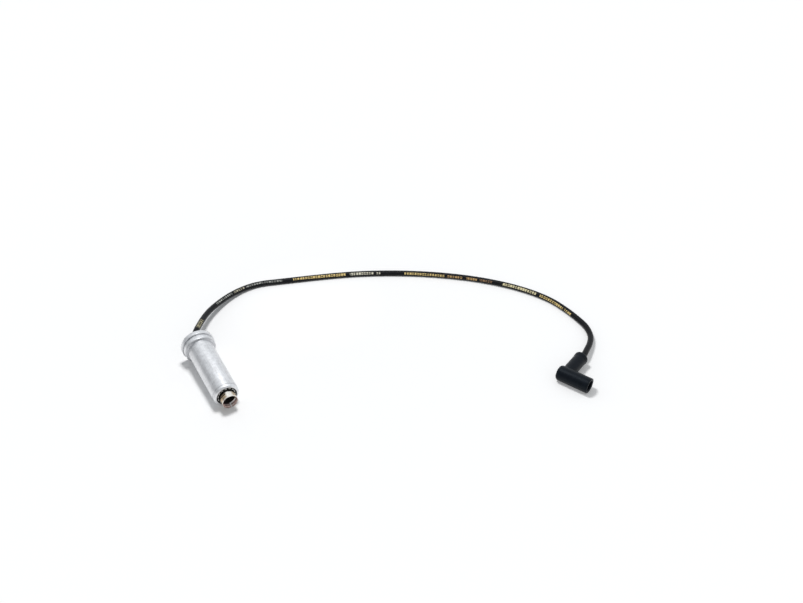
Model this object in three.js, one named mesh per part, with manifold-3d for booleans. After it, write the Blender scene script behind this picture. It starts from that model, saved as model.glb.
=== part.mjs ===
// Ignition lead: a metal-shielded plug connector, a free cable and a right-angle coil connector.
// Millimetres, +Z up. The lead lies on the plane z = 0, with the connectors' box centred on the origin.
import * as THREE from 'three';
import { mergeVertices } from 'three/addons/utils/BufferGeometryUtils.js';
import Module from 'manifold-3d';

const wasm = await Module();
wasm.setup();

// Clearance between pieces that touch
const gap = 0.3;

// Where the two connectors lie, and how far the coil connector is turned from the plug connector
const plugPlace = { x: -180.53, y: 138.99 };
const coilPlace = { x: 157.7, y: -103.52 };
const coilTurn = THREE.MathUtils.degToRad(22.4);

// Cable, with the depth that it reaches into each connector
const cableRadius = 3.5;
const cablePlugDepth = 23;
const cableCoilDepth = 33;
const cableSides = 10;
const cableSteps = 56;

// Shield shell, heights counted from the collar's rear rim towards the plug
const shellLength = 96;
const shellWall = 1.2;
const tubeFrontRadius = 14.4;
const tubeRearRadius = 14.7;
const collarRadius = 19.3;
const collarWidth = 6.2;
const collarRound = 1.6;
const grooveWidth = 1.2;
const grooveDepth = 0.9;
const ringRadius = 18.1;
const ringWidth = 6.6;
const neckLength = 4.6;
const cupRadius = 15.8;
const cupDepth = 11;
const mouthRadius = 11.3;
const lipStep = 4.4;
const lipStepDepth = 0.25;
const lipWall = 1.3;

// Rear cap and cable seal
const capThickness = 2;
const capInset = 0.8;
const sealStemRadius = 5.5;
const sealFlangeRadius = 7.2;
const sealFlangeWidth = 1.6;
const sealTailLength = 4;
const sealTailRadius = 5;
const sealDepth = 10.6;

// Cable ferrule
const ferruleRadius = 4.9;
const ferruleBack = 11.4;
const ferruleBase = 3;
const ferrulePinRadius = 2.1;
const ferrulePinLength = 3.2;

// Contact spring
const springWire = 0.5;
const springRadius = 3.2;
const springLength = 8;
const springTurns = 5;

// Suppression resistor
const resistorRadius = 3.6;
const resistorLength = 20;
const resistorCapWall = 0.7;
const resistorCapDepth = 4;

// Insulator
const partitionWidth = 3;
const plugBoreRadius = 6;
const noseLength = 10;
const noseRadius = 7.4;

// Plug terminal, the socket that snaps on the spark plug
const socketBoreRadius = 3.4;
const socketWall = 0.9;
const socketBase = 1.5;
const socketFlangeRadius = 5.6;
const socketDepth = 12.5;
const socketSlotWidth = 1.2;
const socketSlotLength = 9;
const socketSlots = 4;
const studRadius = 2.6;
const snapWire = 0.5;
const snapBack = 4.5;

// Contact sleeve, the sprung ring that reaches out of the shell
const sleeveRadius = 8.6;
const sleeveWall = 0.5;
const sleeveRim = 0.15;
const sleeveReach = 10;
const sleeveDepth = 16;
const sleeveFlange = 1;
const sleeveSlotBack = 6.2;
const sleeveSlotWidth = 1.7;
const sleeveSlots = [{ start: -83, sweep: 114 }, { start: 106, sweep: 56 }];
const sleeveSlitWidth = 1.1;

// Retaining tube round the sleeve, with its notched front edge inside the shell's mouth
const retainerBore = 9.3;
const retainerEdgeWall = 0.8;
const retainerInset = 0.4;
const retainerPocket = 3;
const notchCount = 14;
const notchWidth = 1.6;
const notchDepth = 1.1;

// Plug seal in the insulator's nose
const plugSealBore = 4.9;
const plugSealDepth = 7;
const plugSealFlange = 1.5;

// Coil boot, heights counted from the barrel's closed end towards its mouth
const barrelRadius = 9;
const barrelLength = 39.5;
const barrelRound = 4.6;
const mouthRound = 0.7;
const barrelBore = 6;
const legOffset = 9.7;
const legRadius = 7.7;
const legReach = 39.3;
const legBead = 0.5;
const legRound = 4.4;
const legGlandLength = 14.3;

// Coil terminal, one folded piece with a crimp barrel and a socket at right angles
const coilCrimpRadius = 4.6;
const coilSocketWall = 0.8;
const coilSocketBore = 3.4;
const coilSocketLength = 16;
const coilSlotLength = 8;
const coilSlotWidth = 1;
const coilSlots = 4;
const coilSnapInset = 3.5;

const finishes = {
  aluminium: { color: 0xd3d5d8, metalness: 0.9, roughness: 0.38 },
  nickel: { color: 0xd9cfbe, metalness: 1, roughness: 0.2 },
  brass: { color: 0xc2a35a, metalness: 1, roughness: 0.3 },
  springSteel: { color: 0xa9abae, metalness: 1, roughness: 0.3 },
  blackRubber: { color: 0x141517, metalness: 0, roughness: 0.5 },
  cableRubber: { color: 0x16171a, metalness: 0, roughness: 0.45 },
  silicone: { color: 0x3a2320, metalness: 0, roughness: 0.6 },
  phenolic: { color: 0x1d1613, metalness: 0, roughness: 0.45 },
  ceramic: { color: 0xe6e1d6, metalness: 0, roughness: 0.6 },
};

// One named piece
function piece(name, geometry, finish) {
  const mesh = new THREE.Mesh(geometry, new THREE.MeshStandardMaterial(finishes[finish]));
  mesh.name = name;
  return mesh;
}

// Twice the area inside an outline, positive where it runs anticlockwise
function turning(outline) {
  return outline.reduce((sum, [r, h], i) => {
    const [nextR, nextH] = outline[(i + 1) % outline.length];
    return sum + r * nextH - nextR * h;
  }, 0);
}

// Turns an outline of [radius, height] points about Z; it may have its ends on the axis
function revolve(outline, sides) {
  const ordered = turning(outline) > 0 ? [...outline] : [...outline].reverse();
  const onAxis = ordered.some(([r]) => r === 0);
  if (onAxis) {
    while (ordered[0][0] !== 0 || ordered[ordered.length - 1][0] !== 0) ordered.push(ordered.shift());
  } else {
    ordered.push(ordered[0]);
  }
  const geometry = new THREE.LatheGeometry(ordered.map(([r, h]) => new THREE.Vector2(r, h)), sides);
  return geometry.rotateX(Math.PI / 2);
}

// A plain tube or, with no bore, a plain rod
function tube(outer, bore, from, to, sides) {
  return revolve([[bore, from], [outer, from], [outer, to], [bore, to]], sides);
}

// Points along a rounded corner
function corner(start, control, end, steps = 4) {
  const curve = new THREE.QuadraticBezierCurve(
    new THREE.Vector2(...start),
    new THREE.Vector2(...control),
    new THREE.Vector2(...end),
  );
  return curve.getPoints(steps).map((p) => [p.x, p.y]);
}

// A closed geometry as a solid that can be cut and joined
function toSolid(geometry) {
  const bare = geometry.clone();
  bare.deleteAttribute('normal');
  bare.deleteAttribute('uv');
  const merged = mergeVertices(bare, 1e-4);
  const corners = merged.index.array;
  const triangles = [];
  for (let i = 0; i < corners.length; i += 3) {
    const [a, b, c] = corners.subarray(i, i + 3);
    if (a !== b && b !== c && c !== a) triangles.push(a, b, c);
  }
  const mesh = new wasm.Mesh({
    numProp: 3,
    vertProperties: new Float32Array(merged.attributes.position.array),
    triVerts: new Uint32Array(triangles),
  });
  return new wasm.Manifold(mesh);
}

function fromSolid(solid) {
  const mesh = solid.getMesh();
  const geometry = new THREE.BufferGeometry();
  geometry.setAttribute('position', new THREE.Float32BufferAttribute(mesh.vertProperties, 3));
  geometry.setIndex(new THREE.BufferAttribute(mesh.triVerts, 1));
  geometry.computeVertexNormals();
  return geometry;
}

// Evenly spaced blocks about Z that cut slots through a tube's wall
function slotCutters(count, width, innerRadius, outerRadius, from, to, turn = 0) {
  const cutters = [];
  for (let i = 0; i < count; i += 1) {
    const block = new THREE.BoxGeometry(outerRadius - innerRadius, width, to - from);
    block.translate((outerRadius + innerRadius) / 2, 0, (from + to) / 2);
    block.rotateZ(turn + (i * 2 * Math.PI) / count);
    cutters.push(toSolid(block));
  }
  return cutters;
}

// A flat strip bent round Z, with square ends, that cuts a slot through a stretch of a tube's wall
function strip(inner, outer, startDegrees, sweepDegrees, from, to) {
  const stepDegrees = 9;
  const steps = Math.ceil(sweepDegrees / stepDegrees);
  const positions = [];
  const index = [];
  for (let i = 0; i <= steps; i += 1) {
    const angle = THREE.MathUtils.degToRad(startDegrees + (sweepDegrees * i) / steps);
    const across = [[inner, from], [outer, from], [outer, to], [inner, to]];
    across.forEach(([r, h]) => positions.push(r * Math.cos(angle), r * Math.sin(angle), h));
    if (i === steps) continue;
    for (let side = 0; side < 4; side += 1) {
      const a = i * 4 + side;
      const b = i * 4 + ((side + 1) % 4);
      index.push(a, b + 4, b, a, a + 4, b + 4);
    }
  }
  const last = steps * 4;
  index.push(0, 1, 2, 0, 2, 3, last, last + 2, last + 1, last, last + 3, last + 2);
  const geometry = new THREE.BufferGeometry();
  geometry.setAttribute('position', new THREE.Float32BufferAttribute(positions, 3));
  geometry.setIndex(index);
  geometry.computeVertexNormals();
  return geometry;
}

// A round wire ring about Z
function wireRing(radius, wire, height) {
  const ring = new THREE.TorusGeometry(radius, wire, 6, 20);
  return ring.translate(0, 0, height);
}

const boreRadius = tubeFrontRadius - shellWall;
const capFront = capInset + capThickness;
const sleeveBack = shellLength - sleeveDepth;

// Drawn aluminium shell: a two-step collar, a hollow neck, a slightly tapered tube and a turned-in lip
function shieldShell() {
  const ringFront = collarWidth + grooveWidth + ringWidth;
  const neckFront = ringFront + neckLength;
  const stepAt = shellLength - lipStep;
  const lipRadius = tubeFrontRadius - lipStepDepth;
  const outline = [
    [cupRadius, 0],
    ...corner([collarRadius - collarRound, 0], [collarRadius, 0], [collarRadius, collarRound], 3),
    [collarRadius, collarWidth - grooveDepth / 2],
    [collarRadius - grooveDepth / 2, collarWidth],
    [ringRadius - grooveDepth, collarWidth],
    [ringRadius - grooveDepth, collarWidth + grooveWidth / 2],
    [ringRadius, collarWidth + grooveWidth],
    ...corner([ringRadius, ringFront - 2], [ringRadius, ringFront], [ringRadius - 1.4, ringFront], 3),
    ...corner([ringRadius - 1.5, ringFront], [tubeRearRadius, ringFront], [tubeRearRadius, neckFront]),
    [tubeFrontRadius, stepAt],
    [lipRadius, stepAt],
    ...corner([lipRadius, shellLength - 3], [lipRadius, shellLength], [mouthRadius + 0.7, shellLength]),
    [mouthRadius, shellLength - 0.4],
    [mouthRadius, shellLength - lipWall],
    [boreRadius, shellLength - lipWall],
    [boreRadius, cupDepth],
    [cupRadius, cupDepth],
  ];
  return piece('shield_shell', revolve(outline, 48), 'aluminium');
}

// Pressed disc that closes the collar
function rearCap() {
  const rim = cupRadius - gap;
  const outline = [
    [sealStemRadius + gap, capInset],
    [rim - 1.6, capInset],
    [rim - 1.2, capInset - 0.5],
    [rim, capInset - 0.5],
    [rim, capFront],
    [sealStemRadius + gap, capFront],
  ];
  return piece('rear_cap', revolve(outline, 36), 'aluminium');
}

// Rubber seal that holds the cable in the rear cap
function cableSeal() {
  const bore = cableRadius + gap;
  const flangeBack = capFront + gap;
  const outline = [
    [bore, sealDepth],
    [bore, -sealTailLength],
    [sealTailRadius - 0.5, -sealTailLength],
    [sealTailRadius, 0.5 - sealTailLength],
    [sealFlangeRadius - 1, capInset - gap - sealFlangeWidth],
    [sealFlangeRadius, capInset - gap - 0.8],
    [sealFlangeRadius, capInset - gap],
    [sealStemRadius, capInset - gap],
    [sealStemRadius, flangeBack],
    [sealFlangeRadius, flangeBack],
    [sealFlangeRadius, flangeBack + sealFlangeWidth],
    [sealStemRadius, flangeBack + sealFlangeWidth],
    [sealStemRadius, sealDepth],
  ];
  return piece('cable_seal', revolve(outline, 28), 'blackRubber');
}

const ferruleBaseAt = cablePlugDepth + gap;
const ferruleFront = ferruleBaseAt + ferruleBase;

// Brass cup crimped on the cable's end, with a pin that centres the spring
function cableFerrule() {
  const outline = [
    [0, ferruleBaseAt],
    [cableRadius + gap, ferruleBaseAt],
    [cableRadius + gap, ferruleBack],
    [ferruleRadius, ferruleBack],
    [ferruleRadius, ferruleFront],
    [ferrulePinRadius, ferruleFront],
    [ferrulePinRadius, ferruleFront + ferrulePinLength],
    [0, ferruleFront + ferrulePinLength],
  ];
  return piece('cable_ferrule', revolve(outline, 24), 'brass');
}

const springBack = ferruleFront + gap;
const springFront = springBack + springLength;

// Spring that presses the resistor on the plug terminal
function contactSpring() {
  const points = [];
  const pointsPerTurn = 12;
  const travel = springLength - 2 * springWire;
  for (let i = 0; i <= springTurns * pointsPerTurn; i += 1) {
    const turn = i / pointsPerTurn;
    const angle = turn * 2 * Math.PI;
    const height = springBack + springWire + (travel * turn) / springTurns;
    points.push(new THREE.Vector3(springRadius * Math.cos(angle), springRadius * Math.sin(angle), height));
  }
  const section = new THREE.Shape(new THREE.Path().absarc(0, 0, springWire, 0, 2 * Math.PI).getPoints(3));
  const geometry = new THREE.ExtrudeGeometry(section, {
    extrudePath: new THREE.CatmullRomCurve3(points),
    steps: springTurns * pointsPerTurn,
  });
  return piece('contact_spring', geometry, 'springSteel');
}

const resistorBack = springFront + gap;
const coreBack = resistorBack + resistorCapWall + gap;
const coreFront = coreBack + resistorLength;
const resistorFront = coreFront + gap + resistorCapWall;
const resistorCapRadius = resistorRadius + gap + resistorCapWall;

function resistorCap(name, back, front) {
  const closedAt = back < front ? back + resistorCapWall : back - resistorCapWall;
  const outline = [
    [0, back],
    [resistorCapRadius, back],
    [resistorCapRadius, front],
    [resistorRadius + gap, front],
    [resistorRadius + gap, closedAt],
    [0, closedAt],
  ];
  return piece(name, revolve(outline, 24), 'brass');
}

// Ceramic rod with a pressed brass cap at each end
function resistor() {
  const skirt = resistorCapWall + resistorCapDepth;
  return [
    piece('resistor_core', tube(resistorRadius, 0, coreBack, coreFront, 24), 'ceramic'),
    resistorCap('resistor_cap_rear', resistorBack, resistorBack + skirt),
    resistorCap('resistor_cap_front', resistorFront, resistorFront - skirt),
  ];
}

const partitionBack = resistorFront + gap;
const partitionFront = partitionBack + partitionWidth;
const bodyFront = sleeveBack - gap;
const noseFront = bodyFront + noseLength;

// Moulded insulator: a flange in the collar, a long body, a nose, and bores from both ends
function insulatorBody() {
  const flangeBack = capFront + gap;
  const flangeRadius = cupRadius - gap;
  const bodyRadius = boreRadius - gap;
  const sealPocket = flangeBack + sealFlangeWidth + 2 * gap;
  const stemPocket = sealDepth + gap;
  const rearBore = Math.max(ferruleRadius, resistorCapRadius) + gap;
  const outline = [
    [sealFlangeRadius + gap, flangeBack],
    [flangeRadius - 0.5, flangeBack],
    [flangeRadius, flangeBack + 0.5],
    [flangeRadius, cupDepth - gap],
    [bodyRadius, cupDepth - gap],
    [bodyRadius, bodyFront],
    [noseRadius, bodyFront],
    [noseRadius, noseFront],
    [plugBoreRadius, noseFront],
    [plugBoreRadius, partitionFront],
    [studRadius + gap, partitionFront],
    [studRadius + gap, partitionBack],
    [rearBore, partitionBack],
    [rearBore, stemPocket],
    [sealStemRadius + gap, stemPocket],
    [sealStemRadius + gap, sealPocket],
    [sealFlangeRadius + gap, sealPocket],
  ];
  return piece('insulator_body', revolve(outline, 32), 'phenolic');
}

const socketBack = partitionFront + gap;
const socketFront = socketBack + socketBase + socketDepth;

// Slotted brass socket with a stud that reaches back to the resistor
function plugTerminal() {
  const outer = socketBoreRadius + socketWall;
  const outline = [
    [0, resistorFront + gap],
    [studRadius, resistorFront + gap],
    [studRadius, socketBack],
    [socketFlangeRadius, socketBack],
    [socketFlangeRadius, socketBack + socketBase],
    [outer, socketBack + socketBase],
    [outer, socketFront],
    [socketBoreRadius, socketFront],
    [socketBoreRadius, socketBack + socketBase],
    [0, socketBack + socketBase],
  ];
  const slots = slotCutters(
    socketSlots, socketSlotWidth, socketBoreRadius - 1, outer + 1,
    socketFront - socketSlotLength, socketFront + 1,
  );
  const solid = slots.reduce((cut, slot) => cut.subtract(slot), toSolid(revolve(outline, 24)));
  return piece('plug_terminal', fromSolid(solid), 'brass');
}

// Wire ring that closes the plug terminal's fingers
function terminalRing() {
  const radius = socketBoreRadius + socketWall + gap + snapWire;
  return piece('terminal_ring', wireRing(radius, snapWire, socketFront - snapBack), 'springSteel');
}

// Sprung sleeve: two slots leave a front ring on two bridges, and a slit splits it at the first slot's start
function contactSleeve() {
  const front = shellLength + sleeveReach;
  const bore = sleeveRadius - sleeveWall;
  const outline = [
    [bore, sleeveBack],
    [boreRadius - gap, sleeveBack],
    [boreRadius - gap, sleeveBack + sleeveFlange],
    [sleeveRadius, sleeveBack + sleeveFlange],
    [sleeveRadius, front - sleeveRim],
    [sleeveRadius - sleeveRim, front],
    [bore, front],
  ];
  const inner = bore - 1;
  const outer = sleeveRadius + 1;
  const slotAt = front - sleeveSlotBack;
  const cuts = sleeveSlots.map(({ start, sweep }) => (
    toSolid(strip(inner, outer, start, sweep, slotAt - sleeveSlotWidth / 2, slotAt + sleeveSlotWidth / 2))
  ));
  const slitAngle = THREE.MathUtils.degToRad(sleeveSlots[0].start);
  const slit = slotCutters(1, sleeveSlitWidth, inner, outer, slotAt, front + 1, slitAngle);
  const whole = toSolid(revolve(outline, 40));
  const solid = [...cuts, ...slit].reduce((cut, cutter) => cut.subtract(cutter), whole);
  return piece('contact_sleeve', fromSolid(solid), 'nickel');
}

// Tube behind the lip that holds the sleeve's flange; its notched edge shows in the mouth
function sleeveRetainer() {
  const back = sleeveBack + sleeveFlange + gap;
  const shoulder = shellLength - lipWall - retainerPocket;
  const front = shellLength - retainerInset;
  const edgeRadius = retainerBore + retainerEdgeWall;
  const outline = [
    [retainerBore, back],
    [boreRadius - gap, back],
    [boreRadius - gap, shoulder],
    [edgeRadius, shoulder],
    [edgeRadius, front],
    [retainerBore, front],
  ];
  const notches = slotCutters(
    notchCount, notchWidth, retainerBore - 1, edgeRadius + 1, front - notchDepth, front + 1,
  );
  const solid = notches.reduce((cut, notch) => cut.subtract(notch), toSolid(revolve(outline, 36)));
  return piece('sleeve_retainer', fromSolid(solid), 'aluminium');
}

// Silicone seal that grips the plug's ceramic
function plugSeal() {
  const back = noseFront - plugSealDepth;
  const flangeBack = noseFront + gap;
  const outline = [
    [plugSealBore + 0.4, back],
    [plugBoreRadius - gap, back],
    [plugBoreRadius - gap, flangeBack],
    [noseRadius, flangeBack],
    [noseRadius, flangeBack + plugSealFlange],
    [plugSealBore + 0.8, flangeBack + plugSealFlange],
    [plugSealBore, flangeBack],
    [plugSealBore, back + 1],
  ];
  return piece('plug_seal', revolve(outline, 28), 'silicone');
}

// The plug connector rests on the collar's edge and on the tube's front edge, mouth down
function plugConnector() {
  const frontEdge = shellLength - lipStep;
  const rearEdge = collarWidth - grooveDepth / 2;
  const tilt = Math.atan2(collarRadius - tubeFrontRadius, frontEdge - rearEdge);
  const group = new THREE.Group();
  group.add(
    shieldShell(),
    rearCap(),
    cableSeal(),
    cableFerrule(),
    contactSpring(),
    ...resistor(),
    insulatorBody(),
    plugTerminal(),
    terminalRing(),
    contactSleeve(),
    sleeveRetainer(),
    plugSeal(),
  );
  const height = collarRadius * Math.cos(tilt) + rearEdge * Math.sin(tilt);
  group.position.set(plugPlace.x, plugPlace.y, height);
  group.rotation.x = Math.PI / 2 + tilt;
  return group;
}

const cableEndInCoil = legReach - cableCoilDepth;
const coilCrimpEnd = legReach - legGlandLength - gap;
const coilSocketOuter = coilSocketBore + coilSocketWall;
const coilSocketFront = legOffset + coilSocketLength;

// Turns a piece made along Z so that it lies along the coil boot's leg
function alongLeg(geometry) {
  return geometry.rotateY(Math.PI / 2).translate(0, 0, legOffset);
}

// Moulded rubber boot: a barrel with one closed end and a leg at right angles
function coilBoot() {
  const barrelOutline = [
    [0, 0],
    ...corner([barrelRadius - barrelRound, 0], [barrelRadius, 0], [barrelRadius, barrelRound], 5),
    ...corner(
      [barrelRadius, barrelLength - mouthRound],
      [barrelRadius, barrelLength],
      [barrelRadius - mouthRound, barrelLength],
      2,
    ),
    [0, barrelLength],
  ];
  const legOutline = [
    [0, 0],
    [legRadius, 0],
    [legRadius, legReach - 2 * legRound],
    [legRadius + legBead, legReach - legRound],
    ...corner(
      [legRadius + legBead, legReach - legRound + 1],
      [legRadius + legBead, legReach],
      [legRadius - legRound + 1, legReach],
      4,
    ),
    [0, legReach],
  ];
  const legBore = coilCrimpRadius + gap;
  const pocketBack = legOffset - coilCrimpRadius - gap;
  const pocketFront = legOffset + legBore;
  const barrelHollow = [
    [0, pocketBack],
    [legBore, pocketBack],
    [legBore, pocketFront],
    [barrelBore, pocketFront + 2],
    [barrelBore, barrelLength - 1],
    [barrelBore + 1, barrelLength],
    [barrelBore + 1, barrelLength + 1],
    [0, barrelLength + 1],
  ];
  const legHollow = [
    [0, 0],
    [legBore, 0],
    [legBore, coilCrimpEnd + gap],
    [cableRadius + gap, coilCrimpEnd + gap],
    [cableRadius + gap, legReach - 0.8],
    [cableRadius + gap + 0.8, legReach],
    [cableRadius + gap + 0.8, legReach + 1],
    [0, legReach + 1],
  ];
  const solid = toSolid(revolve(barrelOutline, 40))
    .add(toSolid(alongLeg(revolve(legOutline, 32))))
    .subtract(toSolid(revolve(barrelHollow, 32)))
    .subtract(toSolid(alongLeg(revolve(legHollow, 24))));
  return piece('coil_boot', fromSolid(solid), 'blackRubber');
}

// Folded brass terminal: a crimp barrel on the cable and a slotted socket in the boot's barrel
function coilTerminal() {
  const crimpBase = cableEndInCoil - gap;
  const crimp = toSolid(alongLeg(tube(coilCrimpRadius, 0, 0, coilCrimpEnd, 24)));
  const crimpBore = toSolid(alongLeg(tube(cableRadius + gap, 0, crimpBase, coilCrimpEnd + 1, 24)));
  const socket = toSolid(tube(coilSocketOuter, 0, legOffset - coilCrimpRadius, coilSocketFront, 24));
  const socketBore = toSolid(
    tube(coilSocketBore, 0, legOffset + coilCrimpRadius, coilSocketFront + 1, 24),
  );
  const slots = slotCutters(
    coilSlots, coilSlotWidth, coilSocketBore - 1, coilSocketOuter + 1,
    coilSocketFront - coilSlotLength, coilSocketFront + 1, Math.PI / 4,
  );
  const folded = crimp.add(socket).subtract(crimpBore).subtract(socketBore);
  const solid = slots.reduce((cut, slot) => cut.subtract(slot), folded);
  return piece('coil_terminal', fromSolid(solid), 'brass');
}

// Wire ring that closes the coil terminal's fingers
function coilTerminalRing() {
  const radius = coilSocketOuter + gap + snapWire;
  const height = coilSocketFront - coilSnapInset;
  return piece('coil_terminal_ring', wireRing(radius, snapWire, height), 'springSteel');
}

// The coil connector lies on its barrel, with the leg level
function coilConnector() {
  const group = new THREE.Group();
  group.add(coilBoot(), coilTerminal(), coilTerminalRing());
  group.position.set(coilPlace.x, coilPlace.y, barrelRadius);
  group.rotation.order = 'ZYX';
  group.rotation.set(Math.PI / 2, 0, coilTurn);
  return group;
}

// The cable's centre line, from inside the plug connector to inside the coil connector
const cableRoute = [
  [-180.53, 116.03, 18.29],
  [-180.53, 131, 19.14],
  [-180.53, 139.99, 19.65],
  [-179.9, 146.8, 20],
  [-178, 153.4, 20.1],
  [-174.8, 159.5, 19.9],
  [-170.3, 166.2, 19.4],
  [-165.4, 173, 18.5],
  [-160.4, 180, 17.3],
  [-153.5, 189.1, 15.4],
  [-144, 199.9, 12.9],
  [-130.7, 211.5, 10],
  [-111.2, 224.2, 7.1],
  [-92.3, 231.7, 5.2],
  [-75.2, 234.1, 4.2],
  [-59, 232, 3.75],
  [-44.1, 227, 3.6],
  [-21.4, 219.2, 3.6],
  [8.6, 208.6, 3.6],
  [31.2, 200, 3.6],
  [53.1, 190.7, 3.6],
  [74.8, 180, 3.6],
  [102.5, 164.2, 3.6],
  [129.4, 146.4, 3.6],
  [154.8, 127, 3.6],
  [178.9, 105.7, 3.6],
  [200.5, 82.6, 3.6],
  [215.7, 63, 3.6],
  [229, 41.3, 3.6],
  [236.7, 24.9, 3.6],
  [242.1, 7.7, 3.6],
  [244.9, -12.8, 3.6],
  [245.5, -33.5, 3.7],
  [243.2, -53.5, 4.3],
  [234.8, -70.7, 5.3],
  [223.2, -82, 6.7],
  [211.9, -89.7, 8.1],
  [203.09, -95.3, 8.85],
  [197.73, -97.51, 9],
  [167.22, -110.09, 9],
];

function ignitionCable() {
  const route = new THREE.CatmullRomCurve3(cableRoute.map((point) => new THREE.Vector3(...point)));
  const section = new THREE.Shape();
  for (let side = 0; side < cableSides; side += 1) {
    const angle = (side * 2 * Math.PI) / cableSides;
    const x = cableRadius * Math.cos(angle);
    const y = cableRadius * Math.sin(angle);
    if (side === 0) section.moveTo(x, y);
    else section.lineTo(x, y);
  }
  const geometry = new THREE.ExtrudeGeometry(section, { extrudePath: route, steps: cableSteps });
  return piece('ignition_cable', geometry, 'cableRubber');
}

const group = new THREE.Group();
group.add(plugConnector(), ignitionCable(), coilConnector());

export default group;
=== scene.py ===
import math

import bmesh
import bpy
from mathutils import Matrix, Vector


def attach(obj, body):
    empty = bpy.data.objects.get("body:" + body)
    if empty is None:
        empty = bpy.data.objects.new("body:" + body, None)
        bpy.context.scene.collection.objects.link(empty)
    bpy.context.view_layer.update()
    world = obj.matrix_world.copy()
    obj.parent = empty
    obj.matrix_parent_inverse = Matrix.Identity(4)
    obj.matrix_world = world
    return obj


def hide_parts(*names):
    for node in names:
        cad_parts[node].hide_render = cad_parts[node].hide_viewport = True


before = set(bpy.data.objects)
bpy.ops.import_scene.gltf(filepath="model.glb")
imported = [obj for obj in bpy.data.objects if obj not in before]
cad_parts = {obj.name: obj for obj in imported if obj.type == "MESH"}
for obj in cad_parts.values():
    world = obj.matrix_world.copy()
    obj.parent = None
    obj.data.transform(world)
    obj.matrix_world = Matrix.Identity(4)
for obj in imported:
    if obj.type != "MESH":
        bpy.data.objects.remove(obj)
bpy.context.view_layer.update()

scene = bpy.context.scene
mm = 0.001
gap = 0.3                           # clearance between pieces, in millimetres
over = 1                            # how far a cutter reaches past what it cuts, in millimetres
mergeDistance = 1e-4                # in millimetres too, as every mesh is until it is settled

view = {
    "from": (-0.3372, -0.5963, 0.6154), "to": (0.0781, 0.1106, 0.0),
    "focalPixels": 800, "framePixels": 803, "sensor": 36, "near": 0.01, "far": 20,
}


def makeCamera():
    data = bpy.data.cameras.new("camera")
    data.sensor_width = view["sensor"]
    data.lens = view["sensor"] * view["focalPixels"] / view["framePixels"]
    data.clip_start, data.clip_end = view["near"], view["far"]
    camera = bpy.data.objects.new("camera", data)
    scene.collection.objects.link(camera)
    camera.location = view["from"]
    toward = Vector(view["to"]) - Vector(view["from"])
    camera.rotation_euler = toward.to_track_quat("-Z", "Y").to_euler()
    scene.camera = camera


# from a connector's own millimetres to its place on the table
def placement(spot, turn):
    turned = Matrix.Rotation(turn[2], 4, "Z") @ Matrix.Rotation(turn[0], 4, "X")
    return Matrix.Translation(spot) @ turned @ Matrix.Scale(mm, 4)


# one object holding a finished bmesh
def addMesh(name, bm):
    bmesh.ops.remove_doubles(bm, verts=bm.verts[:], dist=mergeDistance)
    bmesh.ops.recalc_face_normals(bm, faces=bm.faces[:])
    mesh = bpy.data.meshes.new(name)
    bm.to_mesh(mesh)
    bm.free()
    made = bpy.data.objects.new(name, mesh)
    scene.collection.objects.link(made)
    return made


# turns an outline of (radius, height, rounding) about Z; it stays open where both ends lie on the axis
def turnOutline(name, outline, steps=144, cornerSegments=5):
    bm = bmesh.new()
    points = [(point[0], point[1], point[2] if len(point) > 2 else 0) for point in outline]
    verts = [bm.verts.new((radius, 0, height)) for radius, height, rounding in points]
    for first, second in zip(verts, verts[1:]):
        bm.edges.new((first, second))
    if points[0][0] > 0 or points[-1][0] > 0:
        bm.edges.new((verts[-1], verts[0]))
    for vert, (radius, height, rounding) in zip(verts, points):
        if rounding:
            bmesh.ops.bevel(bm, geom=[vert], offset=rounding, offset_type="OFFSET", segments=cornerSegments,
                            profile=0.5, affect="VERTICES", material=-1)
    bmesh.ops.spin(bm, geom=bm.verts[:] + bm.edges[:], cent=(0, 0, 0), axis=(0, 0, 1), angle=2 * math.pi,
                   steps=steps, use_merge=True, use_duplicate=False)
    return addMesh(name, bm)


# evenly spaced blocks about Z that cut slots in a rim
def slotBlocks(count, width, inner, outer, low, high, turn=0):
    bm = bmesh.new()
    middle = Matrix.Translation(((inner + outer) / 2, 0, (low + high) / 2))
    block = Matrix.Rotation(turn, 4, "Z") @ middle @ Matrix.Diagonal((outer - inner, width, high - low, 1))
    bmesh.ops.create_cube(bm, size=1, matrix=block)
    if count > 1:
        bmesh.ops.spin(bm, geom=bm.verts[:] + bm.edges[:] + bm.faces[:], cent=(0, 0, 0), axis=(0, 0, 1),
                       angle=2 * math.pi * (count - 1) / count, steps=count - 1, use_duplicate=True)
    return addMesh("slotBlocks", bm)


# sweeps a small closed section about Z by an angle, with an even rise from start to end
def windSection(name, bm, angle, rise, steps):
    bmesh.ops.spin(bm, geom=bm.verts[:] + bm.edges[:], cent=(0, 0, 0), axis=(0, 0, 1), angle=angle,
                   dvec=(0, 0, rise / steps), steps=steps, use_merge=False, use_duplicate=False)
    bmesh.ops.holes_fill(bm, edges=[edge for edge in bm.edges if edge.is_boundary], sides=0)
    return addMesh(name, bm)


def wireSection(radius, wire, height, sides=16):
    bm = bmesh.new()
    upright = Matrix.Translation((radius, 0, height)) @ Matrix.Rotation(math.pi / 2, 4, "X")
    bmesh.ops.create_circle(bm, cap_ends=False, radius=wire, segments=sides, matrix=upright)
    return bm


def wireRing(name, radius, wire, height):
    bm = wireSection(radius, wire, height)
    bmesh.ops.spin(bm, geom=bm.verts[:] + bm.edges[:], cent=(0, 0, 0), axis=(0, 0, 1), angle=2 * math.pi,
                   steps=72, use_merge=True, use_duplicate=False)
    return addMesh(name, bm)


def applyModifiers(target):
    evaluated = target.evaluated_get(bpy.context.evaluated_depsgraph_get())
    mesh = bpy.data.meshes.new_from_object(evaluated)
    target.modifiers.clear()
    target.data = mesh


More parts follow.
